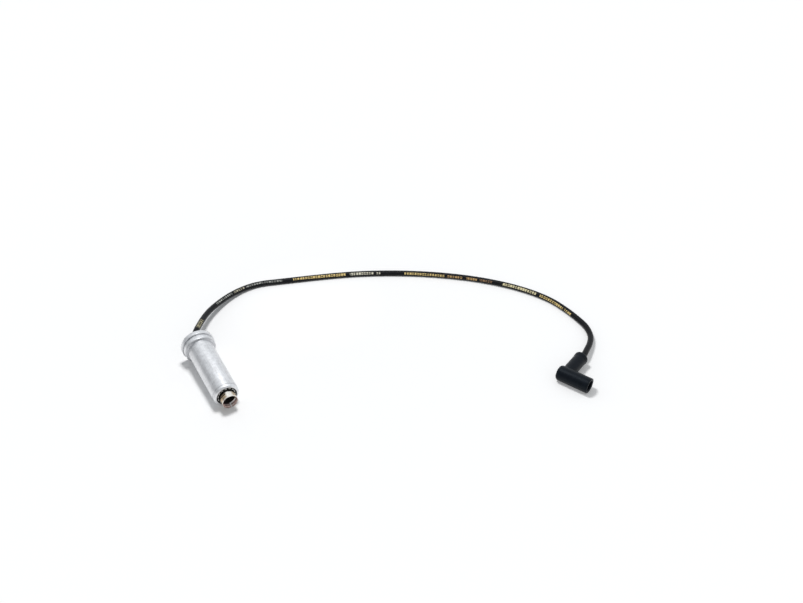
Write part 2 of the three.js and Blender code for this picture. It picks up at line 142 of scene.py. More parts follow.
def combine(target, tool, operation="DIFFERENCE"):
    step = target.modifiers.new("combine", "BOOLEAN")
    step.operation, step.solver, step.object = operation, "EXACT", tool
    applyModifiers(target)
    bpy.data.objects.remove(tool)


# puts a piece where it belongs, gives it its material and hides the CAD node it stands for
def settle(made, matrix, material, node, sharp=32):
    made.data.transform(matrix)
    made.data.shade_smooth()
    if sharp:
        made.data.set_sharp_from_angle(angle=math.radians(sharp))
    made.data.materials.clear()
    made.data.materials.append(material)
    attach(made, "root")
    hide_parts(node)


# shader helpers
def newMaterial(name, metallic, roughness):
    material = bpy.data.materials.new(name)
    material.use_nodes = True
    shader = material.node_tree.nodes["Principled BSDF"]
    shader.inputs["Metallic"].default_value = metallic
    shader.inputs["Roughness"].default_value = roughness
    return material, material.node_tree, shader


def addNode(tree, kind, inputs=None, **settings):
    made = tree.nodes.new("ShaderNode" + kind)
    for name, value in settings.items():
        setattr(made, name, value)
    for name, value in (inputs or {}).items():
        if isinstance(value, bpy.types.NodeSocket):
            tree.links.new(value, made.inputs[name])
        else:
            made.inputs[name].default_value = value
    return made


def calc(tree, operation, first, second=0.0, third=0.0):
    return addNode(tree, "Math", {0: first, 1: second, 2: third}, operation=operation).outputs[0]


def rescale(tree, value, low, high, newLow=0.0, newHigh=1.0):
    sockets = {"Value": value, "From Min": low, "From Max": high, "To Min": newLow, "To Max": newHigh}
    return addNode(tree, "MapRange", sockets).outputs[0]


def mixColour(tree, factor, first, second, blend="MIX"):
    mix = addNode(tree, "Mix", data_type="RGBA", blend_type=blend)
    for socket, value in ((mix.inputs[0], factor), (mix.inputs[6], first), (mix.inputs[7], second)):
        if isinstance(value, bpy.types.NodeSocket):
            tree.links.new(value, socket)
        else:
            socket.default_value = (*value, 1) if isinstance(value, tuple) else value
    return mix.outputs[2]


def noise(tree, vector, scale, detail=3, roughness=0.5):
    sockets = {"Vector": vector, "Scale": scale, "Detail": detail, "Roughness": roughness}
    return addNode(tree, "TexNoise", sockets).outputs["Fac"]


# noise that runs along one value only, as the lines of a turning tool do
def lineNoise(tree, value, scale, detail, roughness=0.5):
    sockets = {"W": value, "Scale": scale, "Detail": detail, "Roughness": roughness}
    return addNode(tree, "TexNoise", sockets, noise_dimensions="1D").outputs["Fac"]


# a chance from 0 to 1 that is always the same for the same number
def chanceOf(tree, number):
    return addNode(tree, "TexWhiteNoise", {"W": number}, noise_dimensions="1D").outputs["Value"]


# cloudy patches from 0 to 1
def patchesOn(tree, vector, scale):
    return rescale(tree, noise(tree, vector, scale, 4, 0.6), 0.35, 0.65)


def shaded(colour, share):
    return tuple(channel * share for channel in colour)


def bump(tree, shader, height, distance, strength=1.0):
    sockets = {"Height": height, "Distance": distance * mm, "Strength": strength}
    made = addNode(tree, "Bump", sockets)
    tree.links.new(made.outputs[0], shader.inputs["Normal"])


# coordinates along and across a connector, in millimetres
def pieceCoordinates(tree, spot, turn, stretch=None):
    coordinates = addNode(tree, "TexCoord").outputs["Object"]
    sockets = {"Vector": coordinates, "Location": spot, "Rotation": turn, "Scale": (mm, mm, mm)}
    local = addNode(tree, "Mapping", sockets, vector_type="TEXTURE").outputs[0]
    if stretch is None:
        return local
    return addNode(tree, "Mapping", {"Vector": local, "Scale": stretch}, vector_type="POINT").outputs[0]


def axesOf(tree, vector):
    return addNode(tree, "SeparateXYZ", {0: vector}).outputs


def radiusFromAxis(tree, local):
    axes = axesOf(tree, local)
    squares = [calc(tree, "MULTIPLY", axis, axis) for axis in axes[:2]]
    return calc(tree, "SQRT", calc(tree, "ADD", *squares)), axes[2]


# the cable and its route, from the plug connector's ferrule to the coil connector's crimp
cable = {
    "radius": 3.5, "spacing": 1.6, "stepsPerSpan": 40, "sides": 24,
    "exit": (-180.4, 142.98, 19.83), "depth": 23, "length": 0.742,
    "route": [
        (-180.53, 116.03, 18.29), (-180.53, 131, 19.14), (-180.53, 139.99, 19.65), (-179.9, 146.8, 20),
        (-178, 153.4, 20.1), (-174.8, 159.5, 19.9), (-170.3, 166.2, 19.4), (-165.4, 173, 18.5),
        (-160.4, 180, 17.3), (-153.5, 189.1, 15.4), (-144, 199.9, 12.9), (-130.7, 211.5, 10),
        (-111.2, 224.2, 7.1), (-92.3, 231.7, 5.2), (-75.2, 234.1, 4.2), (-59, 232, 3.75),
        (-44.1, 227, 3.6), (-21.4, 219.2, 3.6), (8.6, 208.6, 3.6), (31.2, 200, 3.6),
        (53.1, 190.7, 3.6), (74.8, 180, 3.6), (102.5, 164.2, 3.6), (129.4, 146.4, 3.6),
        (154.8, 127, 3.6), (178.9, 105.7, 3.6), (200.5, 82.6, 3.6), (215.7, 63, 3.6),
        (229, 41.3, 3.6), (236.7, 24.9, 3.6), (242.1, 7.7, 3.6), (244.9, -12.8, 3.6),
        (245.5, -33.5, 3.7), (243.2, -53.5, 4.3), (234.8, -70.7, 5.3), (223.2, -82, 6.7),
        (211.9, -89.7, 8.1), (203.09, -95.3, 8.85), (197.73, -97.51, 9), (167.22, -110.09, 9),
    ],
    "colour": (0.006, 0.0065, 0.008), "patchColour": (0.0025, 0.003, 0.004), "roughness": 0.30,
    "specular": 0.14, "patchScale": 90, "grainScale": 2600, "grainGloss": 0.16, "grainDepth": 0.03,
}

# plain printed bars, one in each cell of the pitch, filling a share of it that differs from cell to cell;
# each stretch has its start and end along the cable, its ink, its height and its angle round the cable
stripe = {
    "pitch": 3.4, "cover": (0.62, 0.86), "slit": 0.4, "slitChance": 0.45, "slitSeed": 0.4,
    "wearScale": 1400, "wearFrom": 0.36, "wearTo": 0.52, "leastInk": 0.35, "inkGloss": 0.08, "inkRelief": 0.6,
    "stretches": [
        (49, 66, "faded", 4.6, 30), (109, 140, "white", 1.7, 34), (143, 161, "tan", 2.4, 36),
        (165, 213, "white", 1.7, 37), (228, 297, "gold", 3.2, 48), (302, 335, "cream", 3.3, 54),
        (338, 344, "cream", 2.4, 58), (376, 409, "gold", 3.0, 64), (411, 431, "gold", 2.8, 69),
        (434, 454, "bronze", 2.8, 72), (459, 473, "bronze", 3.0, 68), (476, 493, "brown", 2.4, 62),
        (508, 556, "pale", 3.4, 47), (560, 598, "gold", 3.2, 58), (601, 614, "gold", 2.8, 66),
    ],
    "inks": {
        "gold": (0.76, 0.58, 0.24), "pale": (0.80, 0.72, 0.44), "cream": (0.78, 0.75, 0.60),
        "white": (0.40, 0.41, 0.38), "tan": (0.48, 0.45, 0.34), "faded": (0.34, 0.31, 0.20),
        "bronze": (0.58, 0.38, 0.17), "brown": (0.36, 0.22, 0.12),
    },
}


# how far round and how tall the print is at each place, as 0 to 1 of a quarter turn and of the tallest bar
def printLie(tree, alongShare, length, tallest):
    lie = addNode(tree, "ValToRGB", {"Fac": alongShare})
    knots = lie.color_ramp.elements
    for order, (start, end, ink, tall, angle) in enumerate(stripe["stretches"]):
        middle = (start + end) / 2 / length
        knot = knots[0] if order == 0 else knots.new(middle)
        knot.position = middle
        knot.color = (angle / 90, tall / tallest, 0, 1)
    knots.remove(knots[-1])
    return addNode(tree, "SeparateColor", {0: lie.outputs["Color"]}).outputs


# the ink at each place, with an alpha of 0 where nothing is printed
def printInk(tree, alongShare, length):
    bare = (0, 0, 0, 0)
    inkTone = addNode(tree, "ValToRGB", {"Fac": alongShare})
    ramp = inkTone.color_ramp
    ramp.interpolation = "CONSTANT"
    ramp.elements.remove(ramp.elements[1])
    ramp.elements[0].position = 0
    ramp.elements[0].color = bare
    for start, end, ink, tall, angle in stripe["stretches"]:
        ramp.elements.new(start / length).color = (*stripe["inks"][ink], 1)
        ramp.elements.new(end / length).color = bare
    return inkTone.outputs


# cable jacket with the printed stripe, on the tube's own UV map
def jacketFinish(length):
    material, tree, shader = newMaterial("cableJacket", 0.0, cable["roughness"])
    shader.inputs["Specular IOR Level"].default_value = cable["specular"]
    place = axesOf(tree, addNode(tree, "UVMap", uv_map="UVMap").outputs[0])
    around = 2 * math.pi * cable["radius"]
    quarter = 0.25
    tallest = 10
    lying = printLie(tree, place[0], length, tallest)
    lineMiddle = calc(tree, "MULTIPLY_ADD", lying[0], quarter, quarter - 1 / cable["sides"])
    across = calc(tree, "MULTIPLY", calc(tree, "SUBTRACT", place[1], lineMiddle), around)
    offCentre = calc(tree, "ABSOLUTE", across)

    cell = calc(tree, "DIVIDE", calc(tree, "MULTIPLY", place[0], length), stripe["pitch"])
    cellNumber = calc(tree, "FLOOR", cell)
    barWidth = rescale(tree, chanceOf(tree, cellNumber), 0, 1, *stripe["cover"])
    bar = calc(tree, "LESS_THAN", calc(tree, "FRACT", cell), barWidth)
    inHeight = calc(tree, "LESS_THAN", offCentre, calc(tree, "MULTIPLY", lying[1], tallest / 2))
    slitChance = chanceOf(tree, calc(tree, "ADD", cellNumber, stripe["slitSeed"]))
    slit = calc(tree, "LESS_THAN", offCentre, stripe["slit"])
    slit = calc(tree, "MULTIPLY", slit, calc(tree, "GREATER_THAN", slitChance, 1 - stripe["slitChance"]))
    printed = calc(tree, "MULTIPLY", calc(tree, "MULTIPLY", bar, inHeight), calc(tree, "SUBTRACT", 1.0, slit))

    ink = printInk(tree, place[0], length)
    printed = calc(tree, "MULTIPLY", printed, ink["Alpha"])
    coordinates = addNode(tree, "TexCoord").outputs["Object"]
    wear = noise(tree, coordinates, stripe["wearScale"], 3, 0.7)
    kept = rescale(tree, wear, stripe["wearFrom"], stripe["wearTo"], stripe["leastInk"], 1.0)
    printed = calc(tree, "MULTIPLY", printed, kept)

    patches = patchesOn(tree, coordinates, cable["patchScale"])
    skin = mixColour(tree, patches, cable["patchColour"], cable["colour"])
    tree.links.new(mixColour(tree, printed, skin, ink["Color"]), shader.inputs["Base Color"])
    grain = noise(tree, coordinates, cable["grainScale"], 4, 0.7)
    gloss = calc(tree, "MULTIPLY_ADD", grain, cable["grainGloss"], cable["roughness"])
    gloss = calc(tree, "MULTIPLY_ADD", printed, stripe["inkGloss"], gloss)
    tree.links.new(gloss, shader.inputs["Roughness"])
    relief = calc(tree, "MULTIPLY_ADD", printed, stripe["inkRelief"], grain)
    bump(tree, shader, relief, cable["grainDepth"], 0.5)
    return material


# points a set distance apart on a centripetal curve through the route
def routePoints():
    knots = [Vector(point) for point in cable["route"]]
    knots = [2 * knots[0] - knots[1]] + knots + [2 * knots[-1] - knots[-2]]
    fine = []
    for before, start, end, after in zip(knots, knots[1:], knots[2:], knots[3:]):
        startAt = math.sqrt((start - before).length)
        endAt = startAt + math.sqrt((end - start).length)
        afterAt = endAt + math.sqrt((after - end).length)
        for step in range(cable["stepsPerSpan"]):
            at = startAt + (endAt - startAt) * step / cable["stepsPerSpan"]
            inward = before.lerp(start, at / startAt)
            across = start.lerp(end, (at - startAt) / (endAt - startAt))
            outward = end.lerp(after, (at - endAt) / (afterAt - endAt))
            early = inward.lerp(across, at / endAt)
            late = across.lerp(outward, (at - startAt) / (afterAt - startAt))
            fine.append(early.lerp(late, (at - startAt) / (endAt - startAt)))
    fine.append(knots[-2])
    spans = list(zip(fine, fine[1:]))
    total = sum((end - start).length for start, end in spans)
    count = round(total / cable["spacing"])
    points = [fine[0]]
    walked = 0.0
    for start, end in spans:
        span = (end - start).length
        while len(points) < count and walked + span >= len(points) * total / count:
            points.append(start.lerp(end, (len(points) * total / count - walked) / span))
        walked += span
    return points + [fine[-1]], total


def makeCable():
    points, length = routePoints()
    data = bpy.data.curves.new("ignitionCable", "CURVE")
    data.dimensions, data.twist_mode = "3D", "Z_UP"
    data.bevel_depth = cable["radius"]
    data.bevel_resolution = (cable["sides"] - 4) // 2
    data.use_fill_caps = True
    line = data.splines.new("POLY")
    line.points.add(len(points) - 1)
    for knot, point in zip(line.points, points):
        knot.co = (*point, 1)
    guide = bpy.data.objects.new("cableGuide", data)
    scene.collection.objects.link(guide)
    mesh = bpy.data.meshes.new_from_object(guide.evaluated_get(bpy.context.evaluated_depsgraph_get()))
    bpy.data.objects.remove(guide)
    bm = bmesh.new()
    bm.from_mesh(mesh)
    made = addMesh("ignitionCable", bm)
    settle(made, Matrix.Scale(mm, 4), jacketFinish(length), "ignition_cable", 60)


# the plug connector: heights are counted from the collar's rear rim towards the plug, in millimetres
plugPlace = {"x": -180.53, "y": 138.99}
shell = {
    "length": 96, "wall": 1.2, "frontRadius": 14.4, "rearRadius": 14.7,
    "collarRadius": 19.3, "collarWidth": 6.2, "collarRound": 1.6,
    "grooveWidth": 1.2, "grooveDepth": 0.9, "ringRadius": 18.1, "ringWidth": 6.6, "ringRound": 1.5,
    "neckLength": 4.6, "neckRadius": 15.3, "cupRadius": 15.8, "cupDepth": 11,
    "lipStep": 4.4, "lipStepDepth": 0.25, "lipRound": 2.2, "lipWall": 1.3, "mouthRadius": 11.3,
    "colour": (0.84, 0.845, 0.86), "metallic": 1.0, "roughness": 0.38, "lineDepth": 0.035,
}
boreRadius = shell["frontRadius"] - shell["wall"]
ringFront = shell["collarWidth"] + shell["grooveWidth"] + shell["ringWidth"]
frontEdge = shell["length"] - shell["lipStep"]

# it leans on its collar and on the tube's front edge
rearEdge = shell["collarWidth"] - shell["grooveDepth"] / 2
tilt = math.atan2(shell["collarRadius"] - shell["frontRadius"], frontEdge - rearEdge)
plugHeight = shell["collarRadius"] * math.cos(tilt) + rearEdge * math.sin(tilt)
plugSpot = Vector((plugPlace["x"], plugPlace["y"], plugHeight)) * mm
plugTurn = (math.pi / 2 + tilt, 0, 0)
plugMatrix = placement(plugSpot, plugTurn)

# marks that all the satin aluminium has
satin = {
    "shade": 0.74, "cloudScale": 0.24, "cloudShare": 0.6, "cloudGloss": 0.10, "grainScale": 2.6,
    "lineScale": 5.5, "lineSlant": 1.7, "lineGloss": 0.10, "streakStretch": (0.9, 0.9, 0.03),
    "tone": (0.36, 0.62), "speck": (0.30, 0.42), "speckShade": 0.86,
    "grooveShade": (0.20, 0.21, 0.23), "fade": 0.1,
}
recessShade = (0.035, 0.032, 0.03)     # painted shade for gaps and recesses, where the metal would look black


# satin aluminium with fine turning lines, faint drawing streaks and cloudy patches, with painted shade in its
# grooves of (middle, reach, strength), and painted shade inside a given radius and behind a given height
def aluminiumFinish(name, piece, shadedGrooves=(), shadeInside=0, shadeBehind=0):
    material, tree, shader = newMaterial(name, piece["metallic"], piece["roughness"])
    local = pieceCoordinates(tree, plugSpot, plugTurn)
    radius, height = radiusFromAxis(tree, local)
    lines = lineNoise(tree, calc(tree, "MULTIPLY_ADD", radius, satin["lineSlant"], height),
                      satin["lineScale"], 4, 0.65)
    clouds = noise(tree, local, satin["cloudScale"], 5, 0.6)
    grain = noise(tree, local, satin["grainScale"], 5, 0.7)
    streaks = noise(tree, pieceCoordinates(tree, plugSpot, plugTurn, satin["streakStretch"]), 1.0, 3, 0.6)
    tone = calc(tree, "MULTIPLY", streaks, 1 - satin["cloudShare"])
    tone = calc(tree, "MULTIPLY_ADD", clouds, satin["cloudShare"], tone)
    dark = shaded(piece["colour"], satin["shade"])
    colour = mixColour(tree, rescale(tree, tone, *satin["tone"]), dark, piece["colour"])
    specks = rescale(tree, grain, *satin["speck"], satin["speckShade"], 1.0)
    colour = mixColour(tree, 1.0, colour, specks, "MULTIPLY")
    # painted shade along each groove, broken up by the streaks
    for middle, reach, strength in shadedGrooves:
        away = calc(tree, "ABSOLUTE", calc(tree, "SUBTRACT", height, middle))
        grooveShading = calc(tree, "MULTIPLY", rescale(tree, away, 0.0, reach, strength, 0.0), streaks)
        colour = mixColour(tree, grooveShading, colour, satin["grooveShade"])
    # painted shade inside the given radius, for the mouth's dark inside
    if shadeInside:
        inShade = rescale(tree, radius, shadeInside, shadeInside + satin["fade"], 1.0, 0.0)
        colour = mixColour(tree, inShade, colour, recessShade)
    # painted shade behind the given height, for the dark pocket behind a front edge
    if shadeBehind:
        inShade = rescale(tree, height, shadeBehind, shadeBehind + satin["fade"], 1.0, 0.0)
        colour = mixColour(tree, inShade, colour, recessShade)
    tree.links.new(colour, shader.inputs["Base Color"])
    smoothest = piece["roughness"] - (satin["lineGloss"] + satin["cloudGloss"]) / 2
    gloss = calc(tree, "MULTIPLY_ADD", lines, satin["lineGloss"], smoothest)
    gloss = calc(tree, "MULTIPLY_ADD", clouds, satin["cloudGloss"], gloss)
    tree.links.new(gloss, shader.inputs["Roughness"])
    relief = calc(tree, "MULTIPLY", calc(tree, "ADD", lines, grain), 0.5)
    bump(tree, shader, relief, piece["lineDepth"], 0.6)
    return material


def makeShell():
    grooveRadius = shell["ringRadius"] - shell["grooveDepth"]
    grooveMiddle = shell["collarWidth"] + shell["grooveWidth"] / 2
    lipRadius = shell["frontRadius"] - shell["lipStepDepth"]
    lipBack = shell["length"] - shell["lipWall"]
    made = turnOutline("shieldShell", [
        (shell["cupRadius"], 0, 0.35),
        (shell["collarRadius"], 0, shell["collarRound"]),
        (shell["collarRadius"], shell["collarWidth"], 0.45),
        (grooveRadius, shell["collarWidth"], 0.12),
        (grooveRadius, grooveMiddle, 0.12),
        (shell["ringRadius"], shell["collarWidth"] + shell["grooveWidth"], 0.35),
        (shell["ringRadius"], ringFront, shell["ringRound"]),
        (shell["neckRadius"], ringFront, 1.2),
        (shell["rearRadius"], ringFront + shell["neckLength"], 2.2),
        (shell["frontRadius"], frontEdge, 0.12),
        (lipRadius, frontEdge, 0.1),
        (lipRadius, shell["length"], shell["lipRound"]),
        (shell["mouthRadius"], shell["length"], 0.3),
        (shell["mouthRadius"], lipBack, 0.25),
        (boreRadius, lipBack),
        (boreRadius, shell["cupDepth"]),
        (shell["cupRadius"], shell["cupDepth"]),
    ], steps=192)
    # painted shade at the collar's groove, the neck and the lip step
    shadedGrooves = [(shell["collarWidth"] + 0.3, 0.9, 0.5), (ringFront + 0.6, 2.6, 1.0), (frontEdge, 0.5, 0.9)]
    # the inside of the mouth gets painted shade
    finish = aluminiumFinish("shellAluminium", shell, shadedGrooves, shadeInside=shell["mouthRadius"] + 0.1)
    settle(made, plugMatrix, finish, "shield_shell")


# each of the sleeve's slots has the angle where it starts and its sweep, in degrees
sleeve = {
    "radius": 8.6, "wall": 0.5, "reach": 10, "back": 80, "flange": 1, "rim": 0.15,
    "slotBack": 6.2, "slotWidth": 1.7, "slots": [(-83, 114), (106, 56)], "slitWidth": 1.1,
    "nickel": (0.90, 0.88, 0.84), "stainedNickel": (0.80, 0.76, 0.68), "reflectedBrass": (0.40, 0.28, 0.15),
    "copper": (0.98, 0.82, 0.76), "stainedCopper": (0.70, 0.42, 0.37), "deepShade": (0.012, 0.008, 0.007),
    "brightMiddle": 1.0, "brassReflection": (4.0, 6.0), "mostBrassReflection": 0.85, "rimBrassReflection": 0.15, "brightRim": (1.8, 0.9),
    "blotchScale": 0.35, "blotchReach": 3.0, "lineScale": 9.0, "gloss": (0.13, 0.27), "innerGloss": 0.12,
    "root": (1.3, 2.3), "deep": (7.5, 3.5), "innerMetallic": 0.3, "beadPitch": 3.1, "beadHeight": 0.4,
    "lineHeight": 0.01,
}
sleeveBore = sleeve["radius"] - sleeve["wall"]
sleeveFront = shell["length"] + sleeve["reach"]


# bright nickel with stains, a painted brass-coloured reflection at both sides that fades towards the rim, and
# painted shade at its root;
# inside, a coppery wash under painted shade that goes black with depth, and a few soft beads that catch the
# light
def sleeveFinish():
    material, tree, shader = newMaterial("nickelSleeve", 1.0, 0.2)
    local = pieceCoordinates(tree, plugSpot, plugTurn)
    radius, height = radiusFromAxis(tree, local)
    inside = rescale(tree, radius, sleeveBore + 0.1, sleeveBore + 0.25, 1.0, 0.0)
    sideways = axesOf(tree, local)[0]
    blotches = noise(tree, local, sleeve["blotchScale"], 4, 0.6)
    stain = rescale(tree, blotches, 0.35, 0.65)
    # painted brass-coloured reflection, strongest at both sides, broken up by blotches and fading towards the
    # rim
    fromMiddle = calc(tree, "ABSOLUTE", calc(tree, "SUBTRACT", sideways, sleeve["brightMiddle"]))
    outward = calc(tree, "MULTIPLY_ADD", blotches, sleeve["blotchReach"], fromMiddle)
    brassReflection = rescale(tree, outward, *sleeve["brassReflection"], 0.0, sleeve["mostBrassReflection"])
    rimBack, rimFront = (sleeveFront - depth for depth in sleeve["brightRim"])
    rimBrassReflection = rescale(tree, height, rimBack, rimFront, 1.0, sleeve["rimBrassReflection"])
    brassReflection = calc(tree, "MULTIPLY", brassReflection, rimBrassReflection)
    outer = mixColour(tree, stain, sleeve["stainedNickel"], sleeve["nickel"])
    outer = mixColour(tree, brassReflection, outer, sleeve["reflectedBrass"])
    # painted shade at the sleeve's root, next to the shell's mouth
    rootBack, rootFront = (shell["length"] + reach for reach in sleeve["root"])
    outer = mixColour(tree, rescale(tree, height, rootBack, rootFront, 1.0, 0.0), outer, recessShade)
    inner = mixColour(tree, stain, sleeve["stainedCopper"], sleeve["copper"])
    # painted shade inside the sleeve, going black with depth
    deepBack, deepFront = (sleeveFront - depth for depth in sleeve["deep"])
    inner = mixColour(tree, rescale(tree, height, deepBack, deepFront, 1.0, 0.0), inner, sleeve["deepShade"])
    tree.links.new(mixColour(tree, inside, outer, inner), shader.inputs["Base Color"])
    metallic = calc(tree, "MULTIPLY_ADD", inside, sleeve["innerMetallic"] - 1, 1.0)
    tree.links.new(metallic, shader.inputs["Metallic"])
    lines = lineNoise(tree, height, sleeve["lineScale"], 3)
    gloss = rescale(tree, lines, 0.3, 0.7, *sleeve["gloss"])
    gloss = calc(tree, "MULTIPLY_ADD", inside, sleeve["innerGloss"], gloss)
    tree.links.new(gloss, shader.inputs["Roughness"])
    beads = calc(tree, "SINE", calc(tree, "MULTIPLY", height, 2 * math.pi / sleeve["beadPitch"]))
    beads = calc(tree, "MULTIPLY", calc(tree, "MULTIPLY", beads, inside), sleeve["beadHeight"])
    bump(tree, shader, calc(tree, "MULTIPLY_ADD", lines, sleeve["lineHeight"], beads), 1.0)
    return material


# the sprung sleeve is turned, then cut by two slots round it, and by a slit from its rim to the start of
# the first slot
def makeSleeve():
    made = turnOutline("contactSleeve", [
        (sleeveBore, sleeve["back"]),
        (boreRadius - gap, sleeve["back"]),
        (boreRadius - gap, sleeve["back"] + sleeve["flange"]),
        (sleeve["radius"], sleeve["back"] + sleeve["flange"], 0.3),
        (sleeve["radius"], sleeveFront, sleeve["rim"]),
        (sleeveBore, sleeveFront, 0.1),
    ], steps=160)
    slotAt = sleeveFront - sleeve["slotBack"]
    middle = Matrix.Translation((sleeve["radius"] - sleeve["wall"] / 2, 0, slotAt))
    upright = Matrix.Rotation(math.pi / 2, 4, "X")
    section = Matrix.Diagonal((sleeve["wall"] + 2 * over, 1, sleeve["slotWidth"], 1)) @ upright
    for start, sweep in sleeve["slots"]:
        bm = bmesh.new()
        bmesh.ops.create_grid(bm, x_segments=1, y_segments=1, size=0.5, matrix=middle @ section)
        bmesh.ops.delete(bm, geom=bm.faces[:], context="FACES_ONLY")
        turned = Matrix.Rotation(math.radians(start), 3, "Z")
        bmesh.ops.rotate(bm, verts=bm.verts[:], cent=(0, 0, 0), matrix=turned)
        combine(made, windSection("slot", bm, math.radians(sweep), rise=0, steps=60))
    slitAngle = math.radians(sleeve["slots"][0][0])
    combine(made, slotBlocks(1, sleeve["slitWidth"], sleeveBore - over, sleeve["radius"] + over,
                             slotAt, sleeveFront + over, slitAngle))
    settle(made, plugMatrix, sleeveFinish(), "contact_sleeve")


retainer = {
    "bore": 9.3, "edge": 0.8, "inset": 0.4, "pocket": 3,
    "notches": 14, "notchWidth": 1.6, "notchDepth": 1.1, "brightDepth": 0.6,
    "colour": (0.98, 0.96, 0.93), "metallic": 0.35, "roughness": 0.26, "lineDepth": 0.01,
}


def makeRetainer():
    back = sleeve["back"] + sleeve["flange"] + gap
    shoulder = shell["length"] - shell["lipWall"] - retainer["pocket"]
    front = shell["length"] - retainer["inset"]
    edge = retainer["bore"] + retainer["edge"]
    made = turnOutline("sleeveRetainer", [
        (retainer["bore"], back, 0.2),
        (boreRadius - gap, back, 0.2),
        (boreRadius - gap, shoulder, 0.3),
        (edge, shoulder),
        (edge, front, 0.55),
        (retainer["bore"], front, 0.2),
    ])
    combine(made, slotBlocks(retainer["notches"], retainer["notchWidth"], retainer["bore"] - over,
                             edge + over, front - retainer["notchDepth"], front + over))
    # painted shade on the retainer behind its bright front edge
    finish = aluminiumFinish("retainerAluminium", retainer, shadeBehind=front - retainer["brightDepth"])
    settle(made, plugMatrix, finish, "sleeve_retainer")


cap = {
    "inset": 0.8, "thickness": 2, "rim": 0.5, "rimWidth": 1.2, "rimSlope": 0.4,
    "colour": (0.78, 0.79, 0.80), "metallic": 1.0, "roughness": 0.42, "lineDepth": 0.015,
}
seal = {
    "stem": 5.5, "flange": 7.2, "flangeWidth": 1.6, "flangeEdge": 0.8, "flangeTaper": 0.5,
    "tail": 4, "tailRadius": 5, "depth": 10.6, "colour": (0.010, 0.0105, 0.012), "roughness": 0.45,
}
capFront = cap["inset"] + cap["thickness"]


def makeRearCap():
    rim = shell["cupRadius"] - gap
    rimTop = cap["inset"] - cap["rim"]
    made = turnOutline("rearCap", [
        (seal["stem"] + gap, cap["inset"], 0.2),
        (rim - cap["rimWidth"] - cap["rimSlope"], cap["inset"], 0.3),
        (rim - cap["rimWidth"], rimTop, 0.2),
        (rim, rimTop, 0.3),
        (rim, capFront, 0.2),
        (seal["stem"] + gap, capFront, 0.2),
    ])
    settle(made, plugMatrix, aluminiumFinish("capAluminium", cap), "rear_cap")


rubber = {
    "specular": 0.15, "tint": (0.78, 0.9, 1.0, 1), "shade": 0.6, "patchScale": 0.16, "patchGloss": 0.06,
    "dust": (0.05, 0.055, 0.06), "dustScale": 3.2, "dustAt": (0.68, 0.80), "mostDust": 0.25,
    "grainScale": 5.0, "grainDepth": 0.03, "grainGloss": (-0.05, 0.07),
}


# moulded rubber: a blue-black skin with a fine matt grain and a little pale dust
def rubberFinish(name, piece, spot, turn):
    material, tree, shader = newMaterial(name, 0.0, piece["roughness"])
    shader.inputs["Specular IOR Level"].default_value = rubber["specular"]
    shader.inputs["Specular Tint"].default_value = rubber["tint"]
    local = pieceCoordinates(tree, spot, turn)
    patches = patchesOn(tree, local, rubber["patchScale"])
    skin = mixColour(tree, patches, shaded(piece["colour"], rubber["shade"]), piece["colour"])
    dust = noise(tree, local, rubber["dustScale"], 3, 0.7)
    dust = rescale(tree, dust, *rubber["dustAt"], 0.0, rubber["mostDust"])
    tree.links.new(mixColour(tree, dust, skin, rubber["dust"]), shader.inputs["Base Color"])
    grain = noise(tree, local, rubber["grainScale"], 4, 0.7)
    gloss = calc(tree, "ADD", rescale(tree, grain, 0.3, 0.7, *rubber["grainGloss"]), piece["roughness"])
    gloss = calc(tree, "MULTIPLY_ADD", patches, rubber["patchGloss"], gloss)
    tree.links.new(gloss, shader.inputs["Roughness"])
    bump(tree, shader, grain, rubber["grainDepth"], 0.5)
    return material


def makeCableSeal():
    bore = cable["radius"] + gap
    outside = cap["inset"] - gap
    flangeBack = capFront + gap
    made = turnOutline("cableSeal", [
        (bore, seal["depth"], 0.15),
        (bore, -seal["tail"], 0.2),
        (seal["tailRadius"], -seal["tail"], 0.45),
        (seal["flange"] - seal["flangeTaper"], outside - seal["flangeWidth"], 0.5),
        (seal["flange"], outside - seal["flangeEdge"], 0.25),
        (seal["flange"], outside, 0.15),
        (seal["stem"], outside),
        (seal["stem"], flangeBack),
        (seal["flange"], flangeBack, 0.15),
        (seal["flange"], flangeBack + seal["flangeWidth"], 0.3),
        (seal["stem"], flangeBack + seal["flangeWidth"]),
        (seal["stem"], seal["depth"], 0.3),
    ], steps=96)
    finish = rubberFinish("sealRubber", seal, plugSpot, plugTurn)
    settle(made, plugMatrix, finish, "cable_seal")


# metals and mouldings of the inner pieces
innerStock = {
    "contactBrass": {"colour": (0.60, 0.43, 0.18), "shade": 0.75, "metallic": 1.0, "roughness": 0.3},
    "springSteel": {"colour": (0.52, 0.53, 0.55), "shade": 0.75, "metallic": 1.0, "roughness": 0.3},
    "resistorCeramic": {"colour": (0.72, 0.69, 0.62), "shade": 0.92, "metallic": 0.0, "roughness": 0.5},
    "mouldedInsulator": {"colour": (0.055, 0.032, 0.024), "shade": 0.75, "metallic": 0.0, "roughness": 0.4},
    "sealSilicone": {"colour": (0.045, 0.014, 0.012), "shade": 0.75, "metallic": 0.0, "roughness": 0.5},
}
innerGrain = {"patchScale": 0.5, "scale": 1.4, "depth": 0.015, "gloss": 0.07}


